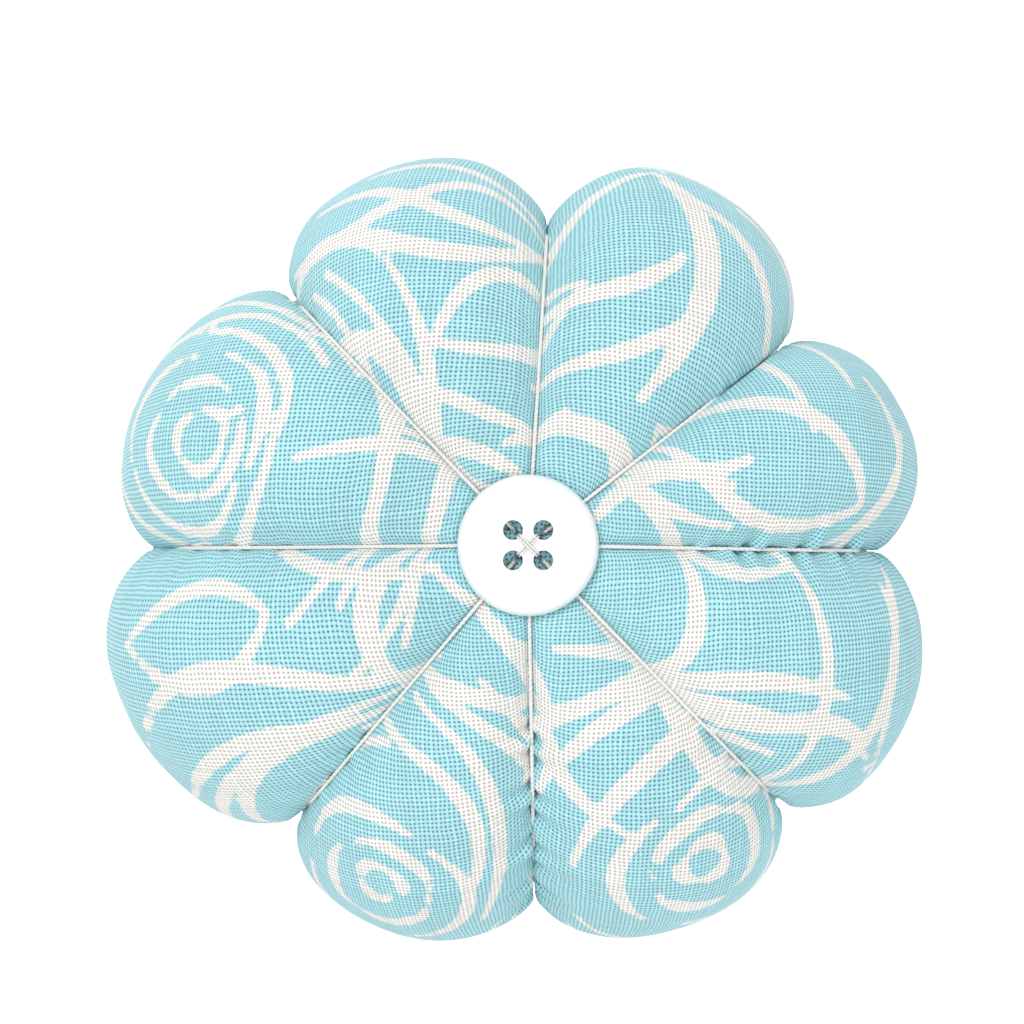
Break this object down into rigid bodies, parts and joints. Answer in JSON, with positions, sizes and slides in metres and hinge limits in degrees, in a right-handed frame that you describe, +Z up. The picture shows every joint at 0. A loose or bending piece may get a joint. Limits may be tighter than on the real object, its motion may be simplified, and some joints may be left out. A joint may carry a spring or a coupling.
{
  "type": "wrist pin cushion",
  "caption": "Round stuffed pin cushion drawn into lobes by threads under a button, on an elastic wrist band.",
  "frame": {"origin": "on the button's axis, at the height of the flat foot that the wrist band stands on", "axes": "+Z up out of the button, +X along the wrist band's wide way and the cushion's longest side, +Y along the wrist"},
  "size_m": [0.0846, 0.0815, 0.0816],
  "materials": {
    "printed_cotton": "plain-weave cotton, pale blue with a cream print",
    "fibre_fill": "loose polyester fibre",
    "white_thread": "twisted off-white thread",
    "button_plastic": "polished white resin",
    "guard_plastic": "plain moulded sheet",
    "felt": "pressed felt",
    "elastic": "ribbed woven elastic"
  },
  "bodies": {
    "cushion": {"cover_top_panel": "printed_cotton", "cover_bottom_panel": "printed_cotton", "stuffing": "fibre_fill", "seam_thread": "white_thread", "segment_thread_1": "white_thread", "segment_thread_2": "white_thread", "segment_thread_3": "white_thread", "segment_thread_4": "white_thread", "segment_thread_5": "white_thread", "segment_thread_6": "white_thread", "segment_thread_7": "white_thread", "segment_thread_8": "white_thread", "centre_thread": "white_thread", "tie_knot": "white_thread", "top_button": "button_plastic", "button_stitch_1": "white_thread", "button_stitch_2": "white_thread", "needle_guard": "guard_plastic", "base_felt": "felt", "base_stitching": "white_thread", "wrist_band_upper": "elastic", "band_stitch_box": "white_thread"},
    "band_loop": {"wrist_band_lower": "elastic"}
  },
  "joints": [
    {"name": "band_stretch", "type": "slide", "parent": "cushion", "child": "band_loop", "axis": [0, 0, -1], "range_m": [0, 0.03], "stiffness_N_per_m": 100}
  ]
}
